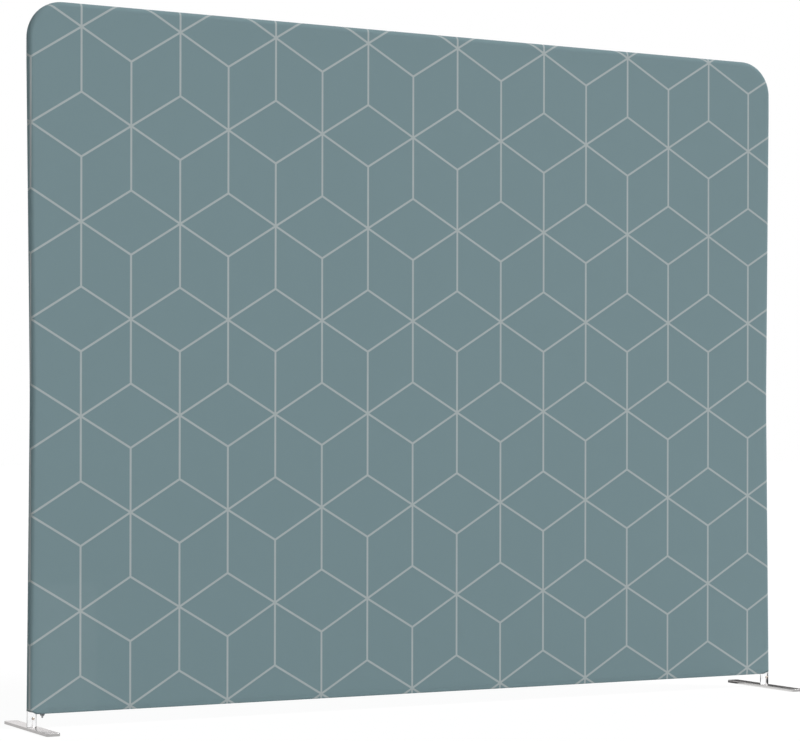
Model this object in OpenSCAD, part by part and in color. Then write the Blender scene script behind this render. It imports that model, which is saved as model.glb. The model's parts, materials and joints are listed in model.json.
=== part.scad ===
// Free-standing fabric room divider: a knock-down frame of round aluminium tube
// under a zipped stretch cover, on two flat steel foot plates.
// +X runs along the wall, -Y faces the viewer, +Z is up, and the origin is on
// the floor under the middle of the wall.

/* [Wall] */
// Width over the cover
wall_w = 2500; // [1800:10:3000]
// Height from the floor to the top of the cover
wall_h = 2000; // [1700:10:2400]
// How far the stretched cover pulls each upright inwards at its middle joint
side_bow = 10; // [2:1:14]
// Bend radius of the two top corners, on the tube's centre line
corner_r = 90; // [75:1:120]
// Height of the cover's lower edge above the floor
cover_bottom = 43; // [42:1:60]

/* [Tubes] */
// Outside diameter of every frame tube
tube_d = 26; // [25:0.5:30]
// Wall of every frame tube
tube_wall = 1.5; // [1.2:0.1:2]
// Straight length at both ends of a corner tube
corner_leg = 60; // [45:1:100]
// Gap left where two tube ends meet
tube_end_gap = 0.5; // [0.4:0.1:1]

/* [Sleeves] */
// Half length of the sleeves in the upright, corner and post joints
side_sleeve = 30; // [26:1:36]
// Half length of the sleeves in the middle of the two rails
rail_sleeve = 45; // [42:1:60]
// Wall of a sleeve
sleeve_wall = 1.6; // [1.2:0.1:2]
// Least gap between a sleeve and its tube
sleeve_gap = 0.1; // [0.1:0.05:0.2]
// Distance of the snap button from the joint line, in the short sleeves
side_button_at = 15; // [12:1:18]
// Distance of the snap button from the joint line, in the rail sleeves
rail_button_at = 28; // [26:1:32]

/* [Snap buttons] */
// Diameter of a snap button
button_d = 7.8; // [6.4:0.2:8]
// How far a snap button stands out of its tube
button_out = 3; // [2:0.5:4]
// Radial gap between a button and the hole in the sleeve
button_gap = 0.2; // [0.15:0.05:0.3]
// Width of the spring strip
spring_w = 7; // [5:0.5:7.5]
// Thickness of the spring strip
spring_t = 0.5; // [0.4:0.1:0.8]
// Straight length of a spring from its button to its bend
spring_leg = 22; // [16:1:24]
// The same on the short springs in the feet
foot_spring_leg = 8; // [6:0.5:9]

/* [Feet] */
// Length of a foot plate, front to back
foot_len = 350; // [250:10:500]
// Width of a foot plate
foot_w = 40; // [32:1:60]
// Thickness of a foot plate
foot_t = 8; // [6:1:10]
// Corner radius of a foot plate
foot_round = 8; // [4:1:14]
// Height of the foot spigot above its plate
spigot_h = 41; // [40:1:44]
// Thickness of the spigot's solid base
spigot_base = 11; // [9:1:13]
// Height of the foot's snap button above the plate
foot_button_h = 24; // [21:1:26]
// Diameter of the foot screw
screw_d = 8; // [6:1:8]

/* [Fittings] */
// Length of a fitting's collar, from the centre of the tube it sits on
collar = 22; // [18:1:30]
// Depth of a fitting's plug in its tube
plug = 32; // [20:1:45]
// Shank diameter of the stud that hooks the bottom rail to an upright
stud_d = 6; // [5:0.5:7]
// Head diameter of the same stud
stud_head_d = 11; // [9.5:0.5:12]
// Distance that the stud drops in its keyhole
keyhole_drop = 12; // [11:1:16]

/* [Cover] */
// Thickness of the stretch fabric
cover_t = 0.8; // [0.6:0.1:1]
// Gap between the fabric and the tubes
cover_gap = 0.3; // [0.3:0.1:0.6]
// How far the hem at each upright sits above the cover's lower edge
hem_rise = 9; // [6:1:12]
// Distance from an upright's centre to the end of the cover's folded lower edge
hem_reach = 20; // [18:1:45]

/* [Zip] */
// Width of one zip tape outside its row of teeth
tape_w = 8; // [6:0.5:8.5]
// Thickness of the zip tape
tape_t = 0.6; // [0.4:0.1:0.8]
// Width of one row of teeth
teeth_w = 2.6; // [2:0.1:3]
// Height of the rows of teeth
teeth_h = 2.4; // [2:0.1:3]
// Gap between the two rows, for the slider's post
teeth_gap = 1.2; // [1:0.1:1.6]
// Length of the slider
slider_len = 13; // [10:1:18]
// Wall of the slider
slider_wall = 1.2; // [1:0.1:1.4]
// Running gap between slider and teeth
slider_gap = 0.4; // [0.3:0.1:0.5]
// Gap between the closed slider and the stop at the zip's end
slider_rest = 1; // [0.5:0.5:20]
// Length of the pull tab below its pivot
pull_len = 9; // [8:0.5:20]
// Width of the pull tab
pull_w = 5.6; // [5:0.1:6]

/* [Hidden] */
$fn = 64;

// Tube and cover sections
tube_r = tube_d / 2;
bore_r = tube_r - tube_wall;
skin_r = tube_r + cover_gap + cover_t;
over = 1;                       // how far a cut runs past the face it opens
fit_gap = 0.1;                  // between pieces that bear on each other

// The frame's centre line
axis_x = wall_w / 2 - skin_r;
top_z = wall_h - skin_r;
foot_z = foot_t;
corner_z = top_z - corner_r - corner_leg;
mid_z = (foot_z + corner_z) / 2;
rail_end_x = axis_x - corner_r - corner_leg;
tilt = atan(side_bow / (mid_z - foot_z));
function side_x(z) = axis_x - side_bow * (1 - abs(z - mid_z) / (mid_z - foot_z));

// Zip, under the bottom rail, with its tapes on the cover's turned-in lips
zip_z = cover_bottom + cover_t + fit_gap + tape_t / 2;
teeth_y = teeth_gap / 2;
tape_y = teeth_y + teeth_w;
slide_h = teeth_h / 2 + slider_gap;
slide_y = tape_y + slider_gap;
slider_h = slide_h + slider_wall;
slider_y = slide_y + slider_wall;
rail_clear = 0.5;               // between the slider and the bottom rail
rail_z = zip_z + slider_h + rail_clear + tube_r;
stop_len = 3;
stop_extra = 0.4;               // how far a stop stands above and below the teeth

// The cover's lower edge
hem_z = cover_bottom + hem_rise;
hem_x = side_x(hem_z) - hem_reach;
seam_gap = 0.1;
lip_gap = 1.4;                  // between the slider and the edge of a lip
lip_end = slider_y + lip_gap;
lip_y = tape_y + tape_w + cover_t + 0.5;
roll_z = 4;                     // how far below the rail's centre the fabric starts to draw in
roll_y = 0.2;
wrap_steps = 6;
corner_steps = 16;

// Slider and pull
slider_x = -(hem_x - stop_len - slider_rest - slider_len / 2);
slider_nose = 0.6;              // the slider's front as a share of its width
pivot_r = 0.7;
eye_wall = 0.6;
eye_r = pivot_r + fit_gap + eye_wall;
pull_t = 1.2;
ear_t = 1;
ear_gap = 0.2;
pivot_z = zip_z - slider_h - eye_r - ear_gap;

// Sleeves and spigots, sized to pass the slight kink at a joint
sleeve_r = bore_r - sleeve_gap - side_sleeve * tan(tilt);
sleeve_bore = sleeve_r - sleeve_wall;
spigot_r = sleeve_r;
spigot_wall = 2;
spigot_bore = spigot_r - spigot_wall;
foot_x = side_x(foot_z + spigot_h / 2);

// Foot screw, in a countersink below the plate and a tapped hole in the spigot
screw_gap = 0.3;
thread_gap = 0.05;
head_sunk = 0.4;                // depth of the screw's head below the plate's underside
screw_end = foot_z + spigot_base - 2;

// Snap buttons, measured out from the centre of their tube
button_r = button_d / 2;
flange_r = button_r + 1.2;
flange_t = 1;
flange_x = sqrt(pow(spigot_bore, 2) - pow(flange_r, 2)) - 0.2;
button_base = flange_x - flange_t;
button_tip = tube_r + button_out;
dome_r = button_r * 1.4;
hole_gap = button_gap + 0.2;    // round a button, in the tubes
leaf_x = button_base - fit_gap;
leaf_back = sqrt(pow(spigot_bore, 2) - pow(spring_w / 2, 2)) - fit_gap;
leaf_past = flange_r;           // how far a leaf runs past the button's centre

// Joint frames: place, turn, half length of the sleeve, button's distance from the joint line.
// In a frame the tube runs along Z and the button points along X.
upright_joint = [[-side_x(mid_z), 0, mid_z], [0, 0, 0], side_sleeve, side_button_at];
corner_side_joint = [[-axis_x, 0, corner_z], [0, 0, 0], side_sleeve, side_button_at];
corner_top_joint = [[-rail_end_x, 0, top_z], [0, 90, 0], side_sleeve, side_button_at];
top_rail_joint = [[0, 0, top_z], [0, 90, 0], rail_sleeve, rail_button_at];
bottom_rail_joint = [[0, 0, rail_z], [0, -90, 0], rail_sleeve, rail_button_at];
post_joint = [[0, 0, (rail_z + top_z) / 2], [0, 0, 0], side_sleeve, side_button_at];
foot_joint = [[-foot_x, 0, foot_z + foot_button_h], [180, 0, -90], 0, 0];

// Fittings
bottom_end_x = side_x(rail_z) - collar;
seat_gap = 0.3;                 // between a fitting's cradle and the tube it sits on
stud_gap = 0.2;
stud_root = 3;                  // how deep the stud is set into its fitting
stud_head_t = 2;
stud_neck = tube_r - sqrt(pow(bore_r, 2) - pow(stud_head_d / 2, 2)) + seat_gap;

module at(joint) { translate(joint[0]) rotate(joint[1]) children(); }

module on_right() { mirror([1, 0, 0]) children(); }

module ring(r_out, r_in) {
    difference() {
        circle(r_out);
        circle(r_in);
    }
}

// A straight tube between two points [x, z] of the frame's plane
module pipe(from, to, r_out = tube_r, r_in = bore_r) {
    run = to - from;
    translate([from.x, 0, from.y])
        rotate([0, atan2(run.x, run.y), 0])
            linear_extrude(norm(run)) ring(r_out, r_in);
}

// The hole that a snap button looks out of, through one wall
module button_hole(joint, gap) {
    at(joint) translate([0, 0, joint[3]]) rotate([0, 90, 0])
        cylinder(r = button_r + gap, h = tube_r + over);
}

// Two flat steel plates carry the wall
module foot_plate() {
    color("silver") difference() {
        translate([-foot_x, 0, 0]) linear_extrude(foot_t) {
            square([foot_w - 2 * foot_round, foot_len], center = true);
            square([foot_w, foot_len - 2 * foot_round], center = true);
            for (sx = [-1, 1], sy = [-1, 1])
                translate([sx * (foot_w / 2 - foot_round), sy * (foot_len / 2 - foot_round)])
                    circle(foot_round);
        }
        translate([-foot_x, 0, -over]) cylinder(d = screw_d + 2 * screw_gap, h = foot_t + 2 * over);
        translate([-foot_x, 0, -over])
            cylinder(d1 = 2 * (screw_d + over), d2 = screw_d, h = screw_d / 2 + over);
    }
}

// A turned cup that the upright slides over, screwed to the plate from below
module foot_spigot() {
    color("gainsboro") difference() {
        translate([-foot_x, 0, foot_z]) cylinder(r = spigot_r, h = spigot_h);
        translate([-foot_x, 0, foot_z + spigot_base]) cylinder(r = spigot_bore, h = spigot_h);
        translate([-foot_x, 0, foot_z - over])
            cylinder(d = screw_d + 2 * thread_gap, h = screw_end - foot_z + 2 * over);
        button_hole(foot_joint, button_gap);
    }
}

module foot_screw() {
    head_h = screw_d / 2 - head_sunk - fit_gap;
    color("dimgray") translate([-foot_x, 0, head_sunk]) {
        cylinder(d1 = screw_d + 2 * head_h, d2 = screw_d, h = head_h);
        cylinder(d = screw_d, h = screw_end - head_sunk);
    }
}

// Upright: a lower and an upper tube that lean inwards to meet at the middle
module upright_lower() {
    keyhole = [-side_x(rail_z), 0, rail_z];
    color("lightgray") difference() {
        pipe([-side_x(foot_z), foot_z + tube_end_gap / 2], [-side_x(mid_z), mid_z - tube_end_gap / 2]);
        button_hole(foot_joint, hole_gap);
        translate(keyhole) rotate([0, 90, 0]) {
            cylinder(d = stud_d + 2 * stud_gap, h = tube_r + over);
            translate([-keyhole_drop, 0, 0])
                cylinder(d = stud_head_d + 4 * stud_gap, h = tube_r + over);
        }
        translate(keyhole + [0, -stud_d / 2 - stud_gap, 0])
            cube([tube_r + over, stud_d + 2 * stud_gap, keyhole_drop]);
    }
}

module upright_upper() {
    color("lightgray") difference() {
        pipe([-side_x(mid_z), mid_z + tube_end_gap / 2], [-axis_x, corner_z - tube_end_gap / 2]);
        button_hole(upright_joint, hole_gap);
    }
}

// Top corner: one bent tube with a straight leg at both ends
module corner_tube() {
    bend_z = corner_z + corner_leg;
    color("lightgray") difference() {
        union() {
            pipe([-axis_x, corner_z + tube_end_gap / 2], [-axis_x, bend_z]);
            translate([-axis_x + corner_r, 0, bend_z]) rotate([90, 0, 180])
                rotate_extrude(angle = 90) translate([corner_r, 0]) ring(tube_r, bore_r);
            pipe([-axis_x + corner_r, top_z], [-rail_end_x - tube_end_gap / 2, top_z]);
        }
        button_hole(corner_side_joint, hole_gap);
    }
}

module top_rail_left() {
    color("lightgray") difference() {
        pipe([-rail_end_x + tube_end_gap / 2, top_z], [-tube_end_gap / 2, top_z]);
        button_hole(corner_top_joint, hole_gap);
    }
}

module top_rail_right() {
    color("lightgray") difference() {
        pipe([tube_end_gap / 2, top_z], [rail_end_x - tube_end_gap / 2, top_z]);
        button_hole(top_rail_joint, hole_gap);
        on_right() button_hole(corner_top_joint, hole_gap);
    }
}

module bottom_rail_left() {
    color("lightgray") difference() {
        pipe([-bottom_end_x, rail_z], [-tube_end_gap / 2, rail_z]);
        button_hole(bottom_rail_joint, hole_gap);
    }
}

module bottom_rail_right() {
    color("lightgray") pipe([tube_end_gap / 2, rail_z], [bottom_end_x, rail_z]);
}

module post_lower() {
    joint_z = post_joint[0].z;
    color("lightgray") pipe([0, rail_z + collar], [0, joint_z - tube_end_gap / 2]);
}

module post_upper() {
    joint_z = post_joint[0].z;
    color("lightgray") difference() {
        pipe([0, joint_z + tube_end_gap / 2], [0, top_z - collar]);
        button_hole(post_joint, hole_gap);
    }
}

// A sleeve bridges two tube ends and holds the snap button
module sleeve(joint) {
    half = joint[2];
    color("gainsboro") difference() {
        at(joint) translate([0, 0, -half]) linear_extrude(2 * half) ring(sleeve_r, sleeve_bore);
        button_hole(joint, button_gap);
    }
}

// A fitting plugs into a tube's end and cradles the tube it meets. It stands along Z,
// and the tube that it cradles lies along X.
module saddle() {
    color("dimgray") difference() {
        union() {
            cylinder(r = tube_r, h = collar);
            cylinder(r = spigot_r, h = collar + plug);
        }
        rotate([0, 90, 0]) cylinder(r = tube_r + seat_gap, h = 2 * tube_d, center = true);
        translate([0, 0, collar]) cylinder(r = spigot_bore, h = plug + over);
    }
}

// The bottom rail's fitting has a headed stud that drops into the upright's keyhole
module rail_saddle() {
    neck_from = tube_r - stud_neck;
    translate([-side_x(rail_z), 0, rail_z]) rotate([0, 90, 0]) {
        saddle();
        color("dimgray") {
            translate([0, 0, neck_from]) cylinder(d = stud_d, h = stud_neck + stud_root);
            translate([0, 0, neck_from - stud_head_t]) cylinder(d = stud_head_d, h = stud_head_t);
        }
    }
}

// Snap button: a flange that stays inside, a stem and a domed tip
module snap_button(joint) {
    color("silver") at(joint) translate([0, 0, joint[3]]) rotate([0, 90, 0]) rotate_extrude() {
        translate([0, button_base]) square([flange_r, flange_t]);
        translate([0, button_base]) square([button_r, button_tip - dome_r - button_base]);
        intersection() {
            translate([0, button_base]) square([button_r, button_tip - button_base]);
            translate([0, button_tip - dome_r]) circle(dome_r);
        }
    }
}

// Hairpin spring strip behind a snap button
module snap_spring(joint, leg) {
    bend_out = (leaf_x + leaf_back) / 2;
    color("silver") at(joint) translate([0, spring_w / 2, joint[3]]) rotate([90, 0, 0])
        linear_extrude(spring_w) {
            translate([leaf_x - spring_t, -leg]) square([spring_t, leg + leaf_past]);
            translate([-leaf_back, -leg]) square([spring_t, leg + leaf_past]);
            translate([leaf_x - bend_out, -leg]) difference() {
                circle(bend_out);
                circle(bend_out - spring_t);
                translate([-2 * bend_out, 0]) square(4 * bend_out);
            }
        }
}

// Cover: each panel lies flat across the frame, rolls over the side and top tubes
// to the seam in the wall's middle plane, and folds in under the bottom rail.
// Stations along the left half of the frame: place [x, z] and outward direction
left_stations = concat(
    [for (z = [hem_z, mid_z, corner_z]) [[-side_x(z), z], [-1, 0]]],
    [for (i = [0 : corner_steps]) let (turn = 180 - 90 * i / corner_steps, out = [cos(turn), sin(turn)])
        [[-axis_x + corner_r, corner_z + corner_leg] + corner_r * out, out]]
);
right_stations = [for (i = [len(left_stations) - 1 : -1 : 0]) let (s = left_stations[i])
    [[-s[0].x, s[0].y], [-s[1].x, s[1].y]]];
stations = concat(left_stations, right_stations);

// One rib of the roll-over, from the flat front to the seam, at a given radius
function rib(s, r) = [for (k = [0 : wrap_steps])
    let (turn = (90 - asin(seam_gap / 2 / r)) * k / wrap_steps, out = r * sin(turn))
        [s[0].x + out * s[1].x, -r * cos(turn), s[0].y + out * s[1].y]];

// One rib of the fold under the bottom rail, at x; inset is 0 outside and the thickness inside
function fold(x, inset) = [
    [x, inset - skin_r, rail_z],
    [x, inset - skin_r + roll_y, rail_z - roll_z],
    [x, inset - lip_y, cover_bottom + inset],
    [x, -lip_end, cover_bottom + inset]
];

function skin_points(inset) = concat(
    [for (s = stations) each rib(s, skin_r - inset)],
    fold(hem_x, inset),
    fold(-hem_x, inset),
    [[0, inset - skin_r, wall_h / 2]]
);

module cover_panel() {
    ribs = len(stations);
    n = wrap_steps + 1;
    right_fold = ribs * n;
    left_fold = right_fold + 4;
    middle = left_fold + 4;
    count = middle + 1;
    last = (ribs - 1) * n;
    flat_edge = concat([for (i = [0 : ribs - 1]) i * n], [right_fold, left_fold]);
    rolled = [for (i = [0 : ribs - 2], k = [0 : wrap_steps - 1])
        let (a = i * n + k, b = a + n) each [[a, b, b + 1], [a, b + 1, a + 1]]];
    folded = [for (k = [0 : 2])
        let (a = right_fold + k, b = left_fold + k) each [[a, b, b + 1], [a, b + 1, a + 1]]];
    slanted = [for (k = [0, 1]) each
        [[last, right_fold + k, right_fold + k + 1], [0, left_fold + k + 1, left_fold + k]]];
    flat = [for (i = [0 : len(flat_edge) - 1])
        [middle, flat_edge[(i + 1) % len(flat_edge)], flat_edge[i]]];
    skin = concat(rolled, folded, slanted, flat);
    rim = concat(
        [for (i = [0 : ribs - 1]) i * n + wrap_steps],
        [for (k = [wrap_steps - 1 : -1 : 0]) last + k],
        [right_fold + 2, right_fold + 3, left_fold + 3, left_fold + 2],
        [for (k = [0 : wrap_steps - 1]) k]
    );
    lining = [for (f = skin) [f[2] + count, f[1] + count, f[0] + count]];
    edges = [for (i = [0 : len(rim) - 1])
        let (a = rim[i], b = rim[(i + 1) % len(rim)]) each
            [[a, b, b + count], [a, b + count, a + count]]];
    polyhedron(points = concat(skin_points(0), skin_points(cover_t)), faces = concat(skin, lining, edges));
}

module cover_front() { color("cadetblue") cover_panel(); }

module cover_back() { color("cadetblue") mirror([0, 1, 0]) cover_panel(); }

// Zip: two tapes with a row of teeth each, a stop at both ends, and the slider
module zip_tape() {
    color("darkslategray") translate([-hem_x, tape_y, zip_z - tape_t / 2])
        cube([2 * hem_x, tape_w, tape_t]);
}

module zip_teeth() {
    color("darkslategray") translate([-hem_x + stop_len, teeth_y, zip_z - teeth_h / 2])
        cube([2 * (hem_x - stop_len), teeth_w, teeth_h]);
}

module zip_stops() {
    for (side = [-1, 1])
        color("dimgray") translate([side * (hem_x - stop_len / 2), 0, zip_z])
            cube([stop_len, 2 * tape_y, teeth_h + 2 * stop_extra], center = true);
}

// The slider's two plates, pointed at the front, and the post that joins them
module slider_body() {
    half = slider_len / 2;
    neck = slider_len / 4;
    nose_y = slider_y * slider_nose;
    difference() {
        linear_extrude(2 * slider_h, center = true) polygon([
            [-half, -slider_y], [neck, -slider_y], [half, -nose_y],
            [half, nose_y], [neck, slider_y], [-half, slider_y]
        ]);
        cube([2 * slider_len, 2 * slide_y, 2 * slide_h], center = true);
        cube([2 * slider_len, 3 * slider_y, tape_t + 2 * slider_gap], center = true);
    }
    cube([slider_len / 3, teeth_gap - slider_gap, 2 * slide_h + slider_wall], center = true);
}

// Two ears and a pin carry the pull below the slider
module slider_ears() {
    ear_y = pull_w / 2 + ear_gap + ear_t / 2;
    for (side = [-1, 1])
        translate([0, side * ear_y, 0]) {
            rotate([90, 0, 0]) cylinder(r = eye_r, h = ear_t, center = true);
            translate([-eye_r, -ear_t / 2, 0]) cube([2 * eye_r, ear_t, eye_r + ear_gap + slider_wall / 2]);
        }
    rotate([90, 0, 0]) cylinder(r = pivot_r, h = 2 * ear_y, center = true);
}

module zip_slider() {
    color("dimgray") {
        translate([slider_x, 0, zip_z]) slider_body();
        translate([slider_x, 0, pivot_z]) slider_ears();
    }
}

module zip_pull() {
    color("darkslategray") translate([slider_x, 0, pivot_z]) difference() {
        union() {
            rotate([90, 0, 0]) cylinder(r = eye_r, h = pull_w, center = true);
            translate([-pull_t / 2, -pull_w / 2, -pull_len]) cube([pull_t, pull_w, pull_len]);
        }
        rotate([90, 0, 0]) cylinder(r = pivot_r + fit_gap, h = 2 * pull_w, center = true);
    }
}

foot_plate();  // left_foot_plate
on_right() foot_plate();  // right_foot_plate
foot_spigot();  // left_foot_spigot
on_right() foot_spigot();  // right_foot_spigot
union() { foot_screw(); on_right() foot_screw(); }  // foot_screws
upright_lower();  // left_upright_lower
on_right() upright_lower();  // right_upright_lower
upright_upper();  // left_upright_upper
on_right() upright_upper();  // right_upright_upper
corner_tube();  // left_corner_tube
on_right() corner_tube();  // right_corner_tube
top_rail_left();
top_rail_right();
bottom_rail_left();
bottom_rail_right();
post_lower();
post_upper();
sleeve(upright_joint);  // left_upright_sleeve
on_right() sleeve(upright_joint);  // right_upright_sleeve
sleeve(corner_side_joint);  // left_corner_side_sleeve
on_right() sleeve(corner_side_joint);  // right_corner_side_sleeve
sleeve(corner_top_joint);  // left_corner_top_sleeve
on_right() sleeve(corner_top_joint);  // right_corner_top_sleeve
sleeve(top_rail_joint);  // top_rail_sleeve
sleeve(bottom_rail_joint);  // bottom_rail_sleeve
sleeve(post_joint);  // post_sleeve
translate([0, 0, top_z]) mirror([0, 0, 1]) saddle();  // post_saddle_top
translate([0, 0, rail_z]) saddle();  // post_saddle_bottom
rail_saddle();  // left_rail_saddle
on_right() rail_saddle();  // right_rail_saddle
snap_button(foot_joint);  // left_foot_button
on_right() snap_button(foot_joint);  // right_foot_button
snap_button(upright_joint);  // left_upright_button
on_right() snap_button(upright_joint);  // right_upright_button
snap_button(corner_side_joint);  // left_corner_side_button
on_right() snap_button(corner_side_joint);  // right_corner_side_button
snap_button(corner_top_joint);  // left_corner_top_button
on_right() snap_button(corner_top_joint);  // right_corner_top_button
snap_button(top_rail_joint);  // top_rail_button
snap_button(bottom_rail_joint);  // bottom_rail_button
snap_button(post_joint);  // post_button
union() {  // foot_button_springs
    snap_spring(foot_joint, foot_spring_leg);
    on_right() snap_spring(foot_joint, foot_spring_leg);
}
union() {  // frame_button_springs
    for (joint = [upright_joint, corner_side_joint, corner_top_joint]) {
        snap_spring(joint, spring_leg);
        on_right() snap_spring(joint, spring_leg);
    }
    for (joint = [top_rail_joint, bottom_rail_joint, post_joint])
        snap_spring(joint, spring_leg);
}
cover_front();
cover_back();
mirror([0, 1, 0]) zip_tape();  // zip_tape_front
zip_tape();  // zip_tape_back
mirror([0, 1, 0]) zip_teeth();  // zip_teeth_front
zip_teeth();  // zip_teeth_back
zip_stops();
zip_slider();
zip_pull();
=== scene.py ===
import json
from math import atan2, cos, hypot, pi, radians, sin

import bmesh
import bpy
from mathutils import Matrix, Vector


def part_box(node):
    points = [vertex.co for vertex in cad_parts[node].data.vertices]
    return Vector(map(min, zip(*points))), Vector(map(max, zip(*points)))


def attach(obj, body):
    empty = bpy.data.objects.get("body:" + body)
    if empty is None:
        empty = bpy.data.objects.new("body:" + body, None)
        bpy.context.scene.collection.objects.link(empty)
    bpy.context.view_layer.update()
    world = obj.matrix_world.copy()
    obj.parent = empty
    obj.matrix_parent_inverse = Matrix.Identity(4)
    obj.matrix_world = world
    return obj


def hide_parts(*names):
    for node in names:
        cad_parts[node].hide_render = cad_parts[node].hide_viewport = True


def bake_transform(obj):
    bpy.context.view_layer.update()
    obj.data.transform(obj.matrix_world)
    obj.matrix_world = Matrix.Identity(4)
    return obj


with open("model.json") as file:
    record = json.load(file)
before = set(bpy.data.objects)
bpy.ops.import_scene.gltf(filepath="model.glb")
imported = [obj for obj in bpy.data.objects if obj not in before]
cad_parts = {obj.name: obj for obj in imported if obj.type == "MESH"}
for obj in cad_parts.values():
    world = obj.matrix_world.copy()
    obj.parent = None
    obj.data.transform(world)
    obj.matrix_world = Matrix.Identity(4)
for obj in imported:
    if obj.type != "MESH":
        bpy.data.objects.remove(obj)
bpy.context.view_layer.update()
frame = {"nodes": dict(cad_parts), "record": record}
nodes = frame["nodes"]
print("frame loaded:", len(nodes), "nodes")

# A free-standing fabric room divider. All lengths are in metres, +X runs along the wall,
# -Y faces the viewer, and the floor is at zero.

wall = {
    "axisX": 1.2359,            # centre of an upright, at the floor and at the top
    "topZ": 1.9859,             # centre of the top rail
    "railZ": 0.0605,            # centre of the bottom rail
    "cornerRadius": 0.09,
    "footZ": 0.008,
    "middleZ": 0.92195,         # where the two tubes of an upright meet
    "bow": 0.010,               # how far the cover pulls the middle of an upright inwards
    "bridging": 0.05,           # the cloth spans the kink of the upright in a soft curve
}


def sideX(z):
    # centre line of the upright under the cover
    share = (z - wall["middleZ"]) / (wall["middleZ"] - wall["footZ"])
    pull = 1 - hypot(share, wall["bridging"])
    return wall["axisX"] - wall["bow"] * max(pull, 0)


def between(value, stops):
    # value looked up in a list of (from, to) pairs, with straight runs between them
    if value <= stops[0][0]:
        return stops[0][1]
    for (a, fromA), (b, fromB) in zip(stops, stops[1:]):
        if value <= b:
            return fromA + (fromB - fromA) * (value - a) / (b - a)
    return stops[-1][1]


class Wire:
    # a shader socket that takes part in sums, so that a pattern reads as a formula

    def __init__(self, finish, socket):
        self.finish = finish
        self.socket = socket

    def out(self, name):
        return Wire(self.finish, self.socket.node.outputs[name])

    def maths(self, operation, *values):
        return self.finish.node("ShaderNodeMath", {"operation": operation}, dict(enumerate(values)))

    def __add__(self, other):
        return self.maths("ADD", self, other)

    def __radd__(self, other):
        return self.maths("ADD", other, self)

    def __sub__(self, other):
        return self.maths("SUBTRACT", self, other)

    def __rsub__(self, other):
        return self.maths("SUBTRACT", other, self)

    def __mul__(self, other):
        return self.maths("MULTIPLY", self, other)

    def __rmul__(self, other):
        return self.maths("MULTIPLY", other, self)

    def __abs__(self):
        return self.maths("ABSOLUTE", self)

    def pingPong(self, scale):
        return self.maths("PINGPONG", self, scale)

    def sine(self):
        return self.maths("SINE", self)

    def root(self):
        return self.maths("SQRT", self)

    def atLeast(self, other):
        return self.maths("MAXIMUM", self, other)

    def atMost(self, other):
        return self.maths("MINIMUM", self, other)


class Finish:
    # the node tree of one material, or of the world

    def __init__(self, name, world=False):
        make = bpy.data.worlds if world else bpy.data.materials
        self.block = make.new(name)
        self.block.use_nodes = True
        self.tree = self.block.node_tree
        self.tree.nodes.clear()

    def node(self, kind, settings=None, inputs=None, output=0):
        made = self.tree.nodes.new(kind)
        for key, value in (settings or {}).items():
            setattr(made, key, value)
        for key, value in (inputs or {}).items():
            if isinstance(value, Wire):
                self.tree.links.new(value.socket, made.inputs[key])
            else:
                made.inputs[key].default_value = value
        return Wire(self, made.outputs[output]) if made.outputs else None

    def place(self):
        return self.node("ShaderNodeTexCoord", None, None, "Object")

    def uv(self, name):
        return self.node("ShaderNodeUVMap", {"uv_map": name})

    def split(self, vector):
        # x of a vector, from which out("Y") gives y
        return self.node("ShaderNodeSeparateXYZ", None, {"Vector": vector})

    def stretched(self, vector, scale):
        return self.node("ShaderNodeMapping", None, {"Vector": vector, "Scale": scale})

    def noise(self, vector, scale, detail, roughness=0.5):
        return self.node("ShaderNodeTexNoise", None, {
            "Vector": vector, "Scale": scale, "Detail": detail, "Roughness": roughness})

    def step(self, value, low, high):
        # 0 below low, 1 above high, smooth between
        return self.node("ShaderNodeMapRange", {"interpolation_type": "SMOOTHSTEP"}, {
            "Value": value, "From Min": low, "From Max": high, "To Min": 0.0, "To Max": 1.0})

    def fade(self, value, low, high):
        # 1 below low, 0 above high
        return 1.0 - self.step(value, low, high)

    def mixColour(self, share, a, b):
        return self.node("ShaderNodeMix", {"data_type": "RGBA"}, {0: share, 6: a, 7: b}, 2)

    def bump(self, height, distance, strength=0.5):
        return self.node("ShaderNodeBump", None, {
            "Height": height, "Distance": distance, "Strength": strength})

    def show(self, shader, output="ShaderNodeOutputMaterial"):
        # links a shader to the output, and gives the finished material or world
        self.node(output, None, {"Surface": shader})
        return self.block

    def surface(self, inputs):
        return self.show(self.node("ShaderNodeBsdfPrincipled", None, inputs))


def grey(shade):
    return (shade, shade, shade, 1)


def addPiece(bm, name, *materials):
    mesh = bpy.data.meshes.new(name)
    bm.to_mesh(mesh)
    bm.free()
    for material in materials:
        mesh.materials.append(material)
    piece = bpy.data.objects.new(name, mesh)
    bpy.context.scene.collection.objects.link(piece)
    return piece


def wholeOf(bm):
    return bm.verts[:] + bm.edges[:] + bm.faces[:]


def vertsOf(geometry):
    return [g for g in geometry if isinstance(g, bmesh.types.BMVert)]


def cutAcross(bm, place, direction, clearBehind=False):
    bmesh.ops.bisect_plane(bm, geom=wholeOf(bm), plane_co=place, plane_no=direction,
                           clear_inner=clearBehind)


# Camera, floor and light

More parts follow.
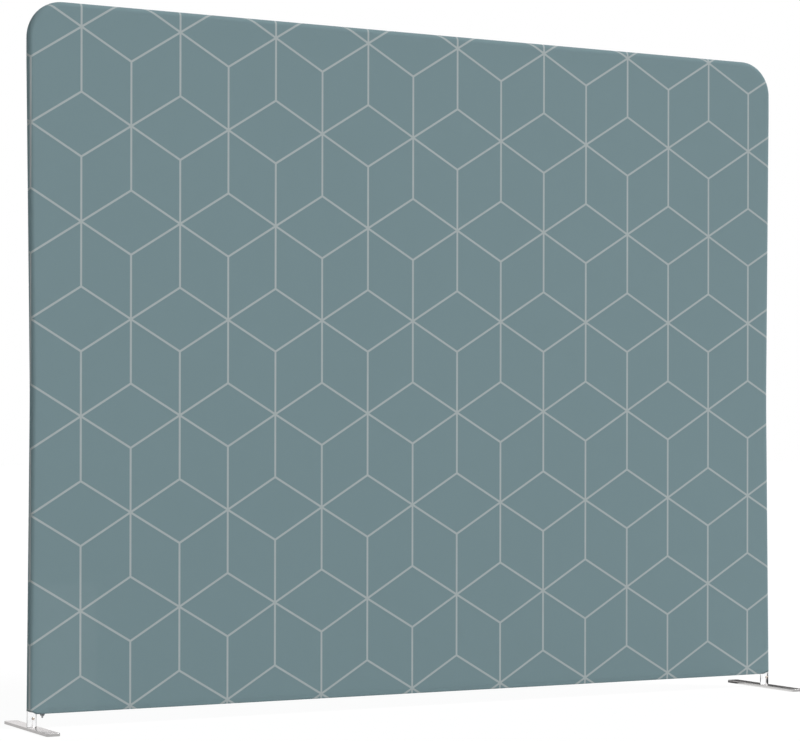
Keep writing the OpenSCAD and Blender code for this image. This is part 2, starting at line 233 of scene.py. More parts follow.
view = {
    "place": (-3.5261, -6.4120, 0.7986),
    "turn": -28.176,
    "lens": 110.67,
    "sensor": 36,
    "shiftY": 0.0846,
    "near": 0.1,
    "far": 400,
    "lamps": {                  # turn, strength, softness, and whether it makes highlights
        "keyLight": ((50, 0, 42), 2.70, 25, True),
        "rearLight": ((52, 0, 140), 1.3, 25, False),
    },
    "fill": 0.36,               # light from the room on all sides
    "floorSize": 60,            # from its middle to each side
    "floorDrop": 0.0003,        # keeps the floor clear of the undersides of the plates
    "floorShade": 0.55,
    "floorGlow": 0.84,          # share of plain white in what the camera sees of the floor
    "floorGloss": 0.85,         # the same for what reflections show of it
    "floorWhite": 1.1,
    "flags": [                  # cards seen only in reflections: from, to, raised by, how bright
        ((3.6, 4.6, 0), (6.5, 0.5, 0), (0, 0, 2.4), 0.0),
        ((1.10, 0.125, 0.0001), (1.2157, 0.125, 0.0001), (0, 0.20, 0), 0.0),
        ((1.258, -0.25, 0.0001), (1.75, -0.25, 0.0001), (0, 0.70, 0), 0.0),
        ((-1.222, -0.0165, 0.046), (-1.05, -0.0165, 0.046), (0, 0, 0.35), 0.9),
        ((1.10, -0.19, 0.0001), (1.2157, -0.19, 0.0001), (0, 0.305, 0), 1.7),
    ],
    "flagShade": 0.01,
    "flagUnseen": ("camera", "diffuse", "transmission", "volume_scatter", "shadow"),
}

lens = bpy.data.cameras.new("camera")
lens.lens = view["lens"]
lens.sensor_width = view["sensor"]
lens.shift_y = view["shiftY"]
lens.clip_start = view["near"]
lens.clip_end = view["far"]
camera = bpy.data.objects.new("camera", lens)
camera.location = view["place"]
camera.rotation_euler = (radians(90), 0, radians(view["turn"]))
bpy.context.scene.collection.objects.link(camera)
bpy.context.scene.camera = camera
bpy.context.scene.view_settings.view_transform = "Standard"

for name, (turn, strength, softness, mirrored) in view["lamps"].items():
    lamp = bpy.data.lights.new(name, "SUN")
    lamp.energy = strength
    lamp.angle = radians(softness)
    lampAt = bpy.data.objects.new(name, lamp)
    lampAt.rotation_euler = [radians(a) for a in turn]
    lampAt.visible_glossy = mirrored
    bpy.context.scene.collection.objects.link(lampAt)

# The room is plain white to the camera, in a gloss and through a clear piece, and only a fill
# for light that spreads
room = Finish("room", world=True)
path = room.node("ShaderNodeLightPath")
seen = path.out("Is Camera Ray") + path.out("Is Glossy Ray") + path.out("Is Transmission Ray")
backdrop = room.node("ShaderNodeBackground", None, {
    "Color": grey(1), "Strength": seen.atMost(1.0) * (1 - view["fill"]) + view["fill"]})
bpy.context.scene.world = room.show(backdrop, "ShaderNodeOutputWorld")

floorFinish = Finish("paleFloor")
matte = floorFinish.node("ShaderNodeBsdfDiffuse", None, {"Color": grey(view["floorShade"])})
glow = floorFinish.node("ShaderNodeEmission", None, {
    "Color": grey(1), "Strength": view["floorWhite"]})
path = floorFinish.node("ShaderNodeLightPath")
seen = (path.out("Is Camera Ray") + path.out("Is Transmission Ray")).atMost(1.0)
floorMix = floorFinish.node("ShaderNodeMixShader", None, {
    0: seen * view["floorGlow"] + path.out("Is Glossy Ray") * view["floorGloss"],
    1: matte, 2: glow})

bm = bmesh.new()
bmesh.ops.create_grid(bm, x_segments=1, y_segments=1, size=view["floorSize"])
floor = addPiece(bm, "floor", floorFinish.show(floorMix))
floor.location = (0, 0, -view["floorDrop"])

for number, (start, end, raised, bright) in enumerate(view["flags"]):
    name = "flag" + str(number + 1)
    flagFinish = Finish(name).surface({
        "Base Color": grey(view["flagShade"]), "Roughness": 1.0, "Specular IOR Level": 0.0,
        "Emission Color": grey(1), "Emission Strength": bright})
    bm = bmesh.new()
    side = bm.edges.new([bm.verts.new(start), bm.verts.new(end)])
    run = bmesh.ops.extrude_edge_only(bm, edges=[side])["geom"]
    bmesh.ops.translate(bm, verts=vertsOf(run), vec=raised)
    flag = addPiece(bm, name, flagFinish)
    for ray in view["flagUnseen"]:
        setattr(flag, "visible_" + ray, False)
print("camera, floor and light set")


# Cloth: printed knit for the cover

cloth = {
    "ground": (0.165, 0.2425, 0.262),
    "line": (0.349, 0.394, 0.400),
    "lineWidth": 0.0060,
    "lineSoft": 0.0003,         # a line's edge fades over this much to either side
    "column": 0.1504,           # distance between the pattern's upright lines
    "edge": 0.1811,             # length of one side of a cube in the pattern
    "printAcross": (7.3730, 6.6462, -0.0636, -0.0144),  # how the print lies on the cloth, a
    "printUp": (-5.3051, -0.0828, 5.5216, -0.0528),     # little warped: see printPlace
    "printFrom": 1,             # the height from which that is measured
    "wales": (1500.0, 520.0, 1.0),      # how fine the knit is, across and up
    "broad": 2.2,               # how fine its broad unevenness is
    "walesTone": 0.03,          # how much each of the two changes the tone
    "broadTone": 0.02,
    "rough": 0.88,
    "lineRough": 0.06,          # how much smoother the printed lines are
    "pucker": (0.0003, 0.0024),         # the seam creases the cloth up to here, and fades out
    "stitch": 0.0032,
    "stitchDip": (0.3, 0.55),   # height in a stitch's wave where its thread starts to show
    "thread": (0.20, 0.29, 0.31),
    "threadHalf": (0.00012, 0.0003),    # half the thread's width, full and faded out
    "paintedGrooveShade": 0.25,          # painted shade in the stitch row's groove: how much darker the cloth is where a stitch goes in
    "hemRow": 0.0024,           # distance of the row of stitches from the hem's edge
    "hemShadeBand": (0.0036, 0.0048),        # height of the band of painted shade along the hem's edge, full and faded
    "hemPaintedShade": 0.36,           # how much darker the painted shade makes that band
    "relief": 0.0003,           # height of the thread, and that of the rest as shares of it
    "walesHigh": 0.2,
    "puckerHigh": 0.35,
    "grooveDeep": 0.5,
}


def printPlace(x, z):
    # the print's own layout: one unit across is a column, one unit up is a cube's edge
    across, up = cloth["printAcross"], cloth["printUp"]
    h = z - cloth["printFrom"]
    return (across[0] + across[1] * x + across[2] * x * x + across[3] * h,
            up[0] + up[1] * x + up[2] * h + up[3] * x * h)


def printedKnit():
    f = Finish("printedKnit")
    column, edge = cloth["column"], cloth["edge"]
    slope = 0.5 * edge / column
    lean = column / hypot(column, 0.5 * edge)

    # The pattern is one cell, a column wide and one and a half edges high, mirrored both ways.
    # It holds an upright line at either side and two lines that slant from side to side
    layout = f.split(f.uv("print"))
    x = layout.pingPong(1.0) * column
    y = layout.out("Y").pingPong(1.5) * edge
    pastX = column - x
    pastY = 1.5 * edge - y
    aboveNode = (y - edge).atLeast(0.0)
    belowNode = (0.5 * edge - y).atLeast(0.0)
    uprightA = (x * x + aboveNode * aboveNode).root()
    uprightB = (pastX * pastX + belowNode * belowNode).root()
    slantA = abs(y - slope * x) * lean
    slantB = abs(pastY - slope * pastX) * lean
    nearest = uprightA.atMost(uprightB).atMost(slantA.atMost(slantB))
    half, soft = cloth["lineWidth"] / 2, cloth["lineSoft"]
    ink = f.fade(nearest, half - soft, half + soft)

    sheetUv = f.uv("cloth")
    wales = f.noise(f.stretched(sheetUv, cloth["wales"]), 1.0, 1.0)
    broad = f.noise(sheetUv, cloth["broad"], 2.0)
    seam = f.split(f.uv("seam"))
    hem = f.split(f.uv("hem"))
    pull = f.fade(seam.out("Y"), *cloth["pucker"])
    puckers = (seam * (2 * pi / cloth["stitch"])).sine() * pull
    row = f.fade(abs(hem.out("Y") - cloth["hemRow"]), *cloth["threadHalf"])
    dash = f.step(abs((hem * (pi / cloth["stitch"])).sine()), *cloth["stitchDip"])
    thread = row * dash
    # Painted shade: the cloth is darkened in a band along its lower edge, where it turns under
    hemShadeMask = f.fade(hem.out("Y"), *cloth["hemShadeBand"])

    even = 1.0 - (cloth["walesTone"] + cloth["broadTone"]) / 2
    tone = even + cloth["walesTone"] * wales + cloth["broadTone"] * broad
    # painted shade in the groove of the stitch row, between stitches
    tone = tone * (1.0 - cloth["paintedGrooveShade"] * row * (1.0 - dash))
    # the painted shade along the hem
    tone = tone * (1.0 - cloth["hemPaintedShade"] * hemShadeMask)
    printed = f.mixColour(ink, cloth["ground"] + (1,), cloth["line"] + (1,))
    sewn = f.mixColour(thread, printed, cloth["thread"] + (1,))
    colour = f.node("ShaderNodeVectorMath", {"operation": "SCALE"}, {0: sewn, "Scale": tone})
    height = (wales * cloth["walesHigh"] + puckers * cloth["puckerHigh"] + thread
              - row * cloth["grooveDeep"])
    return f.surface({
        "Base Color": colour,
        "Roughness": cloth["rough"] - cloth["lineRough"] * ink,
        "Sheen Weight": 0.08,
        "Sheen Roughness": 0.5,
        "Specular IOR Level": 0.25,
        "Normal": f.bump(height, cloth["relief"], 0.8),
    })


coverFinish = printedKnit()

cover = {
    "skin": 0.0141,             # outside of the cloth, from the centre of a tube
    "thick": 0.0008,
    "seamGap": 0.00006,         # each panel ends this far from the wall's middle plane
    "seamDip": 0.00025,         # the seam pulls the cloth in by this much
    "seamWidth": 0.0022,
    "lowerEdge": 0.043,
    "hemX": 1.2154,             # end of the folded lower edge
    "hemLine": [                # past that end: distance, and height of the cloth's edge
        (0.0, 0.0434), (0.010, 0.0437), (0.0205, 0.0480), (0.0426, 0.0526),
    ],
    "hemSlant": 0.013,          # the fold flattens out over this length
    "lipY": 0.0125,             # the fold's front and the lip's end, from the middle plane
    "lipEnd": 0.0062,
    "lipFade": 0.0012,          # the turned-in lip ends over this length
    "lipShort": 0.0014,         # and there the cloth stops this far short of the fold's foot
    "foldIn": 0.0002,           # how far in and down from the rail the fold starts
    "foldDown": 0.004,
    "foldLean": 0.10,           # angle at which the front leans in where it meets the curve
    "foldRadius": 0.003,
    "foldSet": 0.93,            # distance of the curve's centre from the front, in radii
    "foldTurns": 6,
    "foldArc": 0.0044,          # length of cloth in the curve
    "acrossSteps": (48, 7, 1, 4, 8, 3),     # middle, corner, lip's end, corner, tube, seam
    "upSteps": (78, 12, 8, 3),              # rail to corner, corner, tube, seam
    "foldSteps": (3, 8, 3, 2),              # lip, curve, front, start of the fold
    "cutShare": 0.97,           # a stretch cover is cut about 3% small
}

rollWidth = cover["skin"] * pi / 2 - cover["seamGap"]       # from a tube's centre line to the seam


def foldProfile():
    # the fold under the bottom rail, as (y, z) points with their distance along the cloth, and
    # the distances at which its curve and its lip end
    skin, low, radius = cover["skin"], cover["lowerEdge"], cover["foldRadius"]
    lean, turns = cover["foldLean"], cover["foldTurns"]
    points = [(-skin, wall["railZ"]), (-skin + cover["foldIn"], wall["railZ"] - cover["foldDown"])]
    centreY, centreZ = -cover["lipY"] + radius * cover["foldSet"], low + radius
    for k in range(turns + 1):
        turn = lean + k * (pi / 2 - lean) / turns
        points.append((centreY - radius * cos(turn), centreZ - radius * sin(turn)))
    points.append((-cover["lipEnd"], low))
    run, out = 0.0, [(0.0, points[0])]
    for a, b in zip(points, points[1:]):
        run += hypot(b[0] - a[0], b[1] - a[1])
        out.append((run, b))
    return out, out[-2][0], out[-1][0]


foldPoints, foldFront, foldAll = foldProfile()
foldY = [(run, p[0]) for run, p in foldPoints]
foldZ = [(run, p[1]) for run, p in foldPoints]


def seamDip(past):
    # how far the cloth is pulled in, at this distance past the centre line of a tube
    share = max(past - (rollWidth - cover["seamWidth"]), 0) / cover["seamWidth"]
    return cover["seamDip"] * share * share


def laidOver(a, b, down):
    # a point of the cut, a across and b up, on the frame. Under the bottom rail, down is the
    # share of the fold's length at which it lies. Gives its place, its flat place, and for the
    # seam and the hem how far along the edge it lies and how far from it.
    skin, axis, radius = cover["skin"], wall["axisX"], wall["cornerRadius"]
    sign = 1 if a >= 0 else -1
    a = abs(a)
    cornerX, cornerZ = axis - radius, wall["topZ"] - radius
    overSide, overTop = a - axis, b - wall["topZ"]
    arc = radius + skin
    hem = (a, b - wall["railZ"] + foldAll)

    # Round a top corner
    if a > cornerX and b > cornerZ:
        dx, dz = a - cornerX, b - cornerZ
        far, reach = max(dx, dz), hypot(dx, dz)
        dx, dz = dx / reach, dz / reach
        past = max(far - radius, 0)
        near = skin - seamDip(past)
        bulge = far - past + near * sin(past / skin)
        place = (sign * (cornerX + bulge * dx), -near * cos(past / skin), cornerZ + bulge * dz)
        seam = (cornerZ + arc * atan2(dz, dx), rollWidth - far + radius)
        return place, (sign * (cornerX + far * dx), cornerZ + far * dz), seam, hem

    # Over the top rail
    if overTop > overSide:
        past = max(overTop, 0)
        near = skin - seamDip(past)
        seam = (cornerZ + arc * pi / 2 + cornerX - a, rollWidth - overTop)
        if past:
            place = (sign * a, -near * cos(past / skin), wall["topZ"] + near * sin(past / skin))
            return place, (sign * a, b), seam, hem
    else:
        seam = (b, rollWidth - overSide)
    z, y = b, -skin

    # Through the fold, which past its end slants up and lies flat on the upright
    if down is not None:
        beyond = a - cover["hemX"]
        slant = min(max(beyond / cover["hemSlant"], 0), 1)
        edge = between(beyond, [(-cover["lipFade"], foldAll), (0, foldFront - cover["lipShort"])])
        straight = wall["railZ"] - between(beyond, cover["hemLine"])
        edge += (straight - edge) * slant
        run = down * edge
        z = between(run, foldZ) * (1 - slant) + (wall["railZ"] - run) * slant
        y = between(run, foldY) * (1 - slant) - skin * slant
        b = wall["railZ"] - run
        hem = (a, edge - run)

    # Round an upright
    past = max(overSide, 0)
    near = skin - seamDip(past)
    x = min(a, axis) * sideX(z) / axis
    if past:
        y = -near * cos(past / skin)
    return (sign * (x + near * sin(past / skin)), y, z), (sign * (x + past), b), seam, hem


def spread(stops, steps):
    # places along one way of the cut: each run between two stops in its own number of steps
    out = [stops[0]]
    for a, b, n in zip(stops, stops[1:], steps):
        out += [a + (b - a) * (k + 1) / n for k in range(n)]
    return out


def makeCover(name, turned):
    axis, corner, top = wall["axisX"], wall["cornerRadius"], wall["topZ"]
    rollStops = [rollWidth - cover["seamWidth"], rollWidth]
    half = spread([0, axis - corner, cover["hemX"] - cover["lipFade"], cover["hemX"], axis]
                  + [axis + past for past in rollStops], cover["acrossSteps"])
    across = [-a for a in half[:0:-1]] + half
    up = spread([wall["railZ"], top - corner, top] + [top + past for past in rollStops],
                cover["upSteps"])
    runs = spread([foldAll, foldFront, foldFront - cover["foldArc"], cover["foldDown"], 0],
                  cover["foldSteps"])
    downs = [run / foldAll for run in runs[:-1]]
    columns, rows = len(across) - 1, len(up) + len(downs) - 1

    bm = bmesh.new()
    bmesh.ops.create_grid(bm, x_segments=columns, y_segments=rows, size=1)
    layers = [bm.loops.layers.uv.new(layer) for layer in ("print", "cloth", "seam", "hem")]
    laid = {}
    for vert in bm.verts:
        i = round((vert.co.x + 1) / 2 * columns)
        j = round((vert.co.y + 1) / 2 * rows)
        down = downs[j] if j < len(downs) else None
        b = wall["railZ"] if down is not None else up[j - len(downs)]
        vert.co, flatPlace, seam, hem = laidOver(across[i], b, down)
        laid[vert] = (printPlace(*flatPlace), flatPlace, seam, hem)
    for face in bm.faces:
        for loop in face.loops:
            for layer, place in zip(layers, laid[loop.vert]):
                loop[layer].uv = place
        face.smooth = True
    if turned:
        bmesh.ops.rotate(bm, verts=bm.verts, cent=(0, 0, 0), matrix=Matrix.Rotation(pi, 3, "Z"))
    piece = addPiece(bm, name, coverFinish)
    inside = piece.modifiers.new("thickness", "SOLIDIFY")
    inside.thickness = cover["thick"]
    inside.offset = -1
    inside.use_even_offset = True
    width, length = 2 * (axis + rollWidth), up[-1] - wall["railZ"] + foldAll
    return piece, (width * cover["cutShare"], length * cover["cutShare"])


frontCover, frontCut = makeCover("frontCover", False)
backCover, backCut = makeCover("backCover", True)
for piece, node in ((frontCover, "cover_front"), (backCover, "cover_back")):
    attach(piece, "frame")
    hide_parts(node)
print("cover laid over the frame, cut", [round(c, 3) for c in frontCut])


# Metal and plastic finishes

metalLook = {
    "grainRough": 0.10,         # how much the grain and the wear change the roughness
    "grainDeep": 0.00001,
    "wear": 60.0,               # how fine the worn patches are
    "wearRough": 0.05,
    "worn": (0.35, 0.75),       # strength of wear at which the tone starts and ends its change
    "wornTone": 0.93,
    "shineTint": 0.97,          # green and blue in the shine, as a share of its red
}
mouldedLook = {
    "grainRough": 0.12,
    "grainDeep": 0.00004,
    "cloud": 35.0,              # how fine the paler patches are
    "cloudTone": 1.25,
}


def metal(name, colour, rough, grain, along=(1.0, 1.0, 1.0), rim=1.0):
    # rim is how much of the shine is left where a surface turns away
    f = Finish(name)
    place = f.place()
    lines = f.noise(f.stretched(place, tuple(grain * a for a in along)), 1.0, 3.0)
    wear = f.noise(place, metalLook["wear"], 3.0, 0.6)
    worn = tuple(c * metalLook["wornTone"] for c in colour)
    shine = rim * metalLook["shineTint"]
    return f.surface({
        "Base Color": f.mixColour(f.step(wear, *metalLook["worn"]), colour + (1,), worn + (1,)),
        "Metallic": 1.0,
        "Roughness": (rough + metalLook["grainRough"] * (lines - 0.5)
                      + metalLook["wearRough"] * (wear - 0.5)),
        "Specular Tint": (rim, shine, shine, 1),
        "Normal": f.bump(lines, metalLook["grainDeep"]),
    })


def moulded(name, colour, rough, grain=900.0):
    f = Finish(name)
    place = f.place()
    skin = f.noise(place, grain, 2.0)
    cloud = f.noise(place, mouldedLook["cloud"], 3.0)
    paler = tuple(c * mouldedLook["cloudTone"] for c in colour)
    return f.surface({
        "Base Color": f.mixColour(cloud, colour + (1,), paler + (1,)),
        "Roughness": rough + mouldedLook["grainRough"] * (skin - 0.5),
        "Normal": f.bump(skin, mouldedLook["grainDeep"]),
    })


# Each has a name, its colour, how rough and how fine its grain is, and a metal may also have
# the stretch of its grain along x, y and z
finishes = {
    "tube_aluminium": metal("brightTube", (0.96, 0.96, 0.965), 0.14, 900.0, (1.0, 1.0, 0.02),
                            rim=0.04),
    "sleeve_aluminium": metal("turnedSleeve", (0.78, 0.79, 0.80), 0.30, 1500.0, (0.2, 0.2, 1.0)),
    "foot_steel": metal("platedFoot", (0.64, 0.635, 0.63), 0.26, 1600.0, (1.0, 0.02, 1.0)),
    "screw_steel": metal("zincScrew", (0.55, 0.56, 0.58), 0.35, 1200.0),
    "spring_steel": metal("springSteel", (0.50, 0.51, 0.53), 0.28, 1500.0, (0.05, 1.0, 0.05)),
    "button_steel": metal("nickelButton", (0.50, 0.44, 0.385), 0.30, 1400.0),
    "fitting": moulded("blackFitting", (0.035, 0.036, 0.038), 0.5),
    "zip_tape": moulded("zipTape", (0.10, 0.14, 0.15), 0.85, 1500.0),
    "zip_teeth": moulded("zipTeeth", (0.09, 0.12, 0.13), 0.42),
    "zip_metal": metal("zipMetal", (0.21, 0.22, 0.23), 0.38, 1200.0),
    "zip_pull": metal("zipPull", (0.27, 0.275, 0.28), 0.36, 1200.0),
}
# A rougher, darker copy of the foot's metal for the plates' sides: its darker tone is painted shade
paintedSideShade = metal("platedPaintedSideShade", (0.42, 0.415, 0.41), 0.34, 1400.0)
slotOf = {part["node"]: part["material_slot"] for part in frame["record"]["subparts"]}
for name, node in nodes.items():
    finish = finishes.get(slotOf[name])
    if finish is None:
        continue
    node.data.materials.clear()
    node.data.materials.append(finish)
print("finishes on the frame's own pieces")


# Rounded edges

edgeWork = {
    "merge": 0.000005,          # a CAD node's loose triangles are joined within this distance
    "flat": 0.5,                # and become one face where they turn less than this, in degrees
    "broken": 30,               # edges that turn more than this are rounded off
    "crisp": 35,                # and those that turn more than this stay crisp in the light
}


def joined(node):
    # a CAD node's shape, with its loose triangles joined into whole faces
    bm = bmesh.new()
    bm.from_mesh(nodes[node].data)
    bmesh.ops.remove_doubles(bm, verts=bm.verts, dist=edgeWork["merge"])
    bmesh.ops.dissolve_limit(bm, angle_limit=radians(edgeWork["flat"]), verts=bm.verts,
                             edges=bm.edges)
    return bm


def keepCrisp(piece):
    piece.data.set_sharp_from_angle(angle=radians(edgeWork["crisp"]))


def breakEdges(bm, edges, radius, segments, clamped=False):
    bmesh.ops.bevel(bm, geom=edges, offset=radius, offset_type="OFFSET", segments=segments,
                    profile=0.5, affect="EDGES", material=-1, clamp_overlap=clamped)


def softEdges(bm, verts, radius, segments):
    own = set(verts)
    breakEdges(bm, [e for e in bm.edges if own.intersection(e.verts)], radius, segments)


def rounded(name, node, radius, segments, body, slot):
    # a CAD node's shape with its sharp edges rounded off
    bm = joined(node)
    limit = radians(edgeWork["broken"])
    sharp = [e for e in bm.edges if len(e.link_faces) == 2 and e.calc_face_angle(0) > limit]
    breakEdges(bm, sharp, radius, segments, clamped=True)
    for face in bm.faces:
        face.smooth = True
    piece = addPiece(bm, name, finishes[slot])
    keepCrisp(piece)
    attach(piece, body)
    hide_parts(node)
    return piece


foot = {
    "edge": 0.0009,
    "cut": 0.3,                 # a face whose normal rises less than this gets the darker metal, painted shade on the plate's sides
}

for side in ("left", "right"):
    plate = rounded(side + "Foot", side + "_foot_plate", foot["edge"], 3, "frame", "foot_steel")
    # the sides get painted shade from the darker copy
    plate.data.materials.append(paintedSideShade)
    for face in plate.data.polygons:
        if abs(face.normal.z) < foot["cut"]:
            face.material_index = 1

# The foot screws get the socket for their key
screw = {
    "edge": 0.0002,
    "socket": 0.0029,           # from its middle to a corner
    "deep": 0.0028,
    "level": 0.00001,           # faces this near to the lowest point are the heads' flats
}
screws = rounded("footScrews", "foot_screws", screw["edge"], 2, "frame", "screw_steel")
bm = bmesh.new()
bm.from_mesh(screws.data)
level = min(v.co.z for v in bm.verts) + screw["level"]
for head in [f for f in bm.faces if all(v.co.z < level for v in f.verts)]:
    centre = head.calc_center_median()
    rim = list(head.edges)
    bmesh.ops.delete(bm, geom=[head], context="FACES_ONLY")
    ring = bmesh.ops.create_circle(bm, segments=6, radius=screw["socket"])["verts"]
    bmesh.ops.translate(bm, verts=ring, vec=centre)
    hexagon = [e for e in bm.edges if e.verts[0] in ring and e.verts[1] in ring]
    bmesh.ops.bridge_loops(bm, edges=rim + hexagon)
    sides = bmesh.ops.extrude_edge_only(bm, edges=hexagon)["geom"]
    bmesh.ops.translate(bm, verts=vertsOf(sides), vec=(0, 0, screw["deep"]))
    bmesh.ops.contextual_create(bm, geom=[g for g in sides if isinstance(g, bmesh.types.BMEdge)])
bmesh.ops.recalc_face_normals(bm, faces=bm.faces)
bm.to_mesh(screws.data)
bm.free()
keepCrisp(screws)
print("feet rounded, screws socketed")


# Hairpin springs, one piece for each snap button

spring = {
    "step": 0.0018,             # the strip bends in steps of this length
    "thick": 0.0005,
}


def islands(bm):
    # the loose parts of a mesh, each a set of vertices
    left = set(bm.verts)
    while left:
        part, edge = set(), [left.pop()]
        while edge:
            vert = edge.pop()
            part.add(vert)
            edge += [v for e in vert.link_edges for v in e.verts if v in left]
            left -= set(edge)
        yield part


def makeSpring(joint):
    node, button = joint["deforming_nodes"][0]["node"], joint["child"]
    low, high = (Vector(corner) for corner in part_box(button))
    centre, out = (low + high) / 2, -Vector(joint["axis"])
    bm = joined(node)
    near = min(islands(bm), key=lambda part: min((v.co - centre).length for v in part))
    bmesh.ops.delete(bm, geom=[v for v in bm.verts if v not in near], context="VERTS")

    # The strip is cut into steps along the way down, from the button to the bend
    middle = sum((v.co for v in bm.verts), Vector()) / len(bm.verts) - centre
    down = (middle - out * middle.dot(out)).normalized()
    outs = [(v.co - centre).dot(out) for v in bm.verts]
    downs = [(v.co - centre).dot(down) for v in bm.verts]
    flange = abs((high - low).dot(down)) / 2
    place = min(downs) + spring["step"]
    while place < max(downs) - spring["step"]:
        cutAcross(bm, centre + down * place, down)
        place += spring["step"]

    # A slope is worked out for the share of the button's travel that falls from 1 on the leaf at
    # the button to 0 at the bend, and is 0 on all of the leaf that leans on the far wall; nothing
    # applies it
    along = -1 / (max(downs) - flange)
    across = (1 - along * (flange - min(downs))) / (max(outs) - min(outs) - spring["thick"])
    rest = 1 - across * max(outs) - along * flange
    slope = out * across + down * along
    piece = addPiece(bm, button.replace("button", "spring"), finishes["spring_steel"])
    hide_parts(node)
    centre - slope * rest / slope.length_squared
    centre + slope * (1 - rest) / slope.length_squared
    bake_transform(piece)


for joint in frame["record"]["behaviour"]["joints"]:
    if joint.get("deforming_nodes") and joint["name"].endswith("_press"):
        makeSpring(joint)
print("springs made")


# The zip under the bottom rail: woven tapes, moulded teeth, stops, slider and pull

zipper = {
    "z": 0.0442,
    "end": 1.2154,
    "tapeFrom": 0.0036,         # the tape reaches from beside the teeth to inside the lip
    "tapeTo": 0.0102,
    "tapeThick": 0.0006,
    "tapeEdge": 0.00012,
    "cordRadius": 0.0006,       # the cord along the tape's edge that the teeth grip
    "cordSides": 10,
    "pitch": 0.0025,
    "toothLong": 0.0026,
    "toothWide": 0.0015,
    "toothHigh": 0.0022,
    "toothFrom": 0.0006,
    "toothEdge": 0.00014,
    "head": 0.42,               # share of a tooth's length in its head
    "neck": 0.62,               # width behind the head, as a share
    "stop": 0.003,
    "stopEdge": 0.0003,
    "firstGap": 0.0004,         # from a stop to the first tooth, and at least to the last one
    "lastGap": 0.0002,
    "sliderX": -1.20492,
    "sliderEdge": 0.0002,
    "pivotZ": 0.0398,
    "plateZ": 0.0414,
    "lugLong": 0.0130,
    "lugLow": 0.0364,
    "lugInto": 0.0003,          # how far a lug sinks into the slider's plate
    "lugEnd": 0.50,             # a lug's length at its foot, as a share
    "lugY": 0.0035,
    "lugThick": 0.001,
    "lugEdge": 0.00018,
}


def block(bm, lowest, highest):
    # a box between two corners, and its vertices
    size = [h - l for l, h in zip(lowest, highest)]
    made = bmesh.ops.create_cube(bm, size=1)["verts"]
    bmesh.ops.scale(bm, verts=made, vec=size)
    bmesh.ops.translate(bm, verts=made, vec=[(l + h) / 2 for l, h in zip(lowest, highest)])
    return made


def finishZip(bm, name, side, slot):
    # every shape is made for the back, and mirrored for the front
    if side < 0:
        bmesh.ops.mirror(bm, geom=wholeOf(bm), matrix=Matrix.Identity(4), merge_dist=-1, axis="Y")
        bmesh.ops.delete(bm, geom=[v for v in bm.verts if v.co.y > 0], context="VERTS")
    bmesh.ops.recalc_face_normals(bm, faces=bm.faces)
    piece = addPiece(bm, name, finishes[slot])
    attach(piece, "frame")
    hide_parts(slot + ("_front" if side < 0 else "_back"))
    return piece


def makeTape(name, side):
    bm = bmesh.new()
    z, half, end = zipper["z"], zipper["tapeThick"] / 2, zipper["end"]
    tape = block(bm, (-end, zipper["tapeFrom"], z - half), (end, zipper["tapeTo"], z + half))
    softEdges(bm, tape, zipper["tapeEdge"], 1)
    cord = bmesh.ops.create_cone(bm, cap_ends=True, segments=zipper["cordSides"],
                                 radius1=zipper["cordRadius"], radius2=zipper["cordRadius"],
                                 depth=2 * end)["verts"]
    bmesh.ops.rotate(bm, verts=cord, cent=(0, 0, 0), matrix=Matrix.Rotation(pi / 2, 3, "Y"))
    bmesh.ops.translate(bm, verts=cord, vec=(0, zipper["tapeFrom"], z))
    for face in bm.faces:
        face.smooth = len(face.verts) == 4      # not the cord's ends or the tape's corners
    return finishZip(bm, name, side, "zip_tape")


def makeTeeth(name, side):
    # one tooth, doubled again and again along the tape. The back's row is half a pitch further on
    bm = bmesh.new()
    z, near, pitch = zipper["z"], zipper["toothFrom"], zipper["pitch"]
    far, wide, high = near + zipper["toothLong"], zipper["toothWide"] / 2, zipper["toothHigh"] / 2
    block(bm, (-wide, near, z - high), (wide, far, z + high))
    headEnd = near + zipper["toothLong"] * zipper["head"]
    cutAcross(bm, (0, headEnd, 0), (0, 1, 0))
    neck = [v for v in bm.verts if v.co.y > (near + headEnd) / 2]
    bmesh.ops.scale(bm, verts=neck, vec=(zipper["neck"], 1, 1))
    softEdges(bm, bm.verts, zipper["toothEdge"], 1)

    start = -zipper["end"] + zipper["stop"] + zipper["firstGap"] + (pitch / 2 if side > 0 else 0)
    last = zipper["end"] - zipper["stop"] - zipper["lastGap"]
    bmesh.ops.translate(bm, verts=bm.verts, vec=(start + wide, 0, 0))
    step = pitch
    while step < 2 * zipper["end"]:
        copy = bmesh.ops.duplicate(bm, geom=wholeOf(bm))["geom"]
        bmesh.ops.translate(bm, verts=vertsOf(copy), vec=(step, 0, 0))
        step *= 2
    count = int((last - start - 2 * wide) / pitch) + 1
    limit = start + wide + (count - 0.5) * pitch
    bmesh.ops.delete(bm, geom=[v for v in bm.verts if v.co.x > limit], context="VERTS")
    return finishZip(bm, name, side, "zip_teeth")


tapes = [makeTape("frontTape", -1), makeTape("backTape", 1)]
teeth = [makeTeeth("frontTeeth", -1), makeTeeth("backTeeth", 1)]
stops = rounded("zipStops", "zip_stops", zipper["stopEdge"], 2, "frame", "zip_metal")
slider = rounded("slider", "zip_slider", zipper["sliderEdge"], 2, "zip_slider", "zip_metal")
print("zip made")


def addTo(piece, bm):
    # joins more mesh to a piece that is already in place
    bm.from_mesh(piece.data)
    bm.to_mesh(piece.data)
    bm.free()
    for face in piece.data.polygons:
        face.use_smooth = True
    keepCrisp(piece)


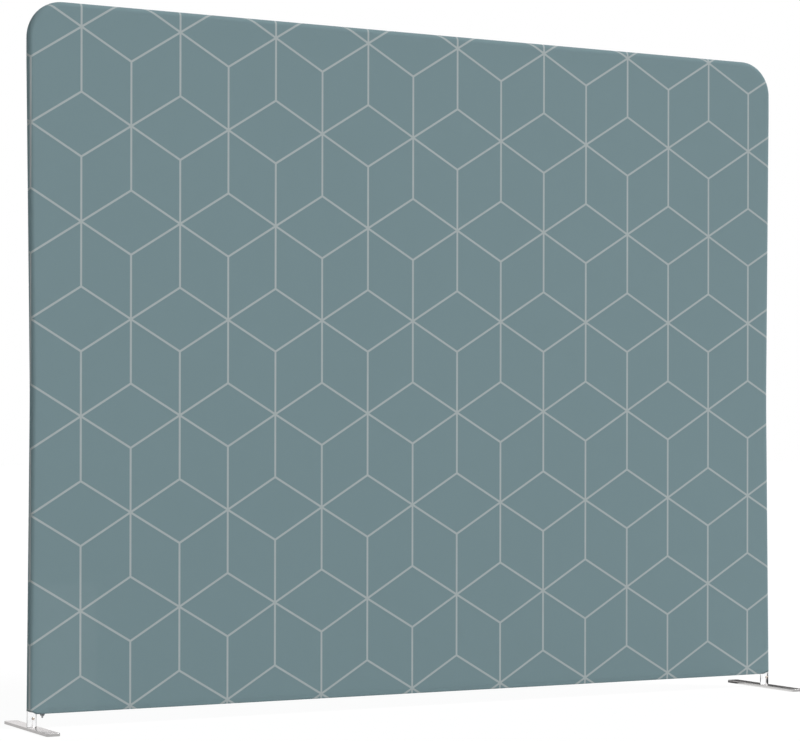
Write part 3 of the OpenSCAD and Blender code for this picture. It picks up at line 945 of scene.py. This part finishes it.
# Lugs along the slider carry the pull's pin
bm = bmesh.new()
x, half, thick = zipper["sliderX"], zipper["lugLong"] / 2, zipper["lugThick"] / 2
for y in (-zipper["lugY"], zipper["lugY"]):
    lug = block(bm, (x - half, y - thick, zipper["lugLow"]),
                (x + half, y + thick, zipper["plateZ"] + zipper["lugInto"]))
    low = [v for v in lug if v.co.z < zipper["pivotZ"]]
    bmesh.ops.scale(bm, verts=low, vec=(zipper["lugEnd"], 1, 1),
                    space=Matrix.Translation((-x, 0, 0)))
    softEdges(bm, lug, zipper["lugEdge"], 2)
addTo(slider, bm)

pullShape = {
    "wide": 0.0055,
    "low": 0.0308,
    "belly": 0.0353,
    "high": 0.0387,
    "xTip": 0.0030,             # thickness at the tip, where it is thickest, and at the pin
    "xBelly": 0.0045,
    "xRoot": 0.0029,
    "tipShare": 0.8,            # width at the tip and at the pin
    "rootShare": 0.98,
    "edge": 0.0007,
    "eyeFrom": 0.0379,          # the CAD shape, with the eye for the pin, is kept from here up
    "eyeEdge": 0.00025,
}
pull = rounded("pullTab", "zip_pull", pullShape["eyeEdge"], 2, "zip_pull", "zip_pull")
bm = bmesh.new()
bm.from_mesh(pull.data)
cutAcross(bm, (0, 0, pullShape["eyeFrom"]), (0, 0, 1), clearBehind=True)
bmesh.ops.holes_fill(bm, edges=[e for e in bm.edges if e.is_boundary])
bm.to_mesh(pull.data)
bm.free()

# Below the eye the pull is a wedge, thickest at its belly
bm = bmesh.new()
belly, thick, wide = pullShape["belly"], pullShape["xBelly"] / 2, pullShape["wide"] / 2
wedge = block(bm, (x - thick, -wide, pullShape["low"]), (x + thick, wide, pullShape["high"]))
tip = [v for v in wedge if v.co.z < belly]
root = [v for v in wedge if v.co.z > belly]
cutAcross(bm, (0, 0, belly), (0, 0, 1))
for ring, thinner, share in ((tip, "xTip", "tipShare"), (root, "xRoot", "rootShare")):
    bmesh.ops.scale(bm, verts=ring, space=Matrix.Translation((-x, 0, 0)),
                    vec=(pullShape[thinner] / pullShape["xBelly"], pullShape[share], 1))
softEdges(bm, bm.verts, pullShape["edge"], 3)
addTo(pull, bm)
print("slider and pull made")


for sheet, cut, tape, row, more in ((frontCover, frontCut, tapes[0], teeth[0], [stops]),
                                    (backCover, backCut, tapes[1], teeth[1], [])):
    [tape, row] + more

bpy.context.view_layer.update()
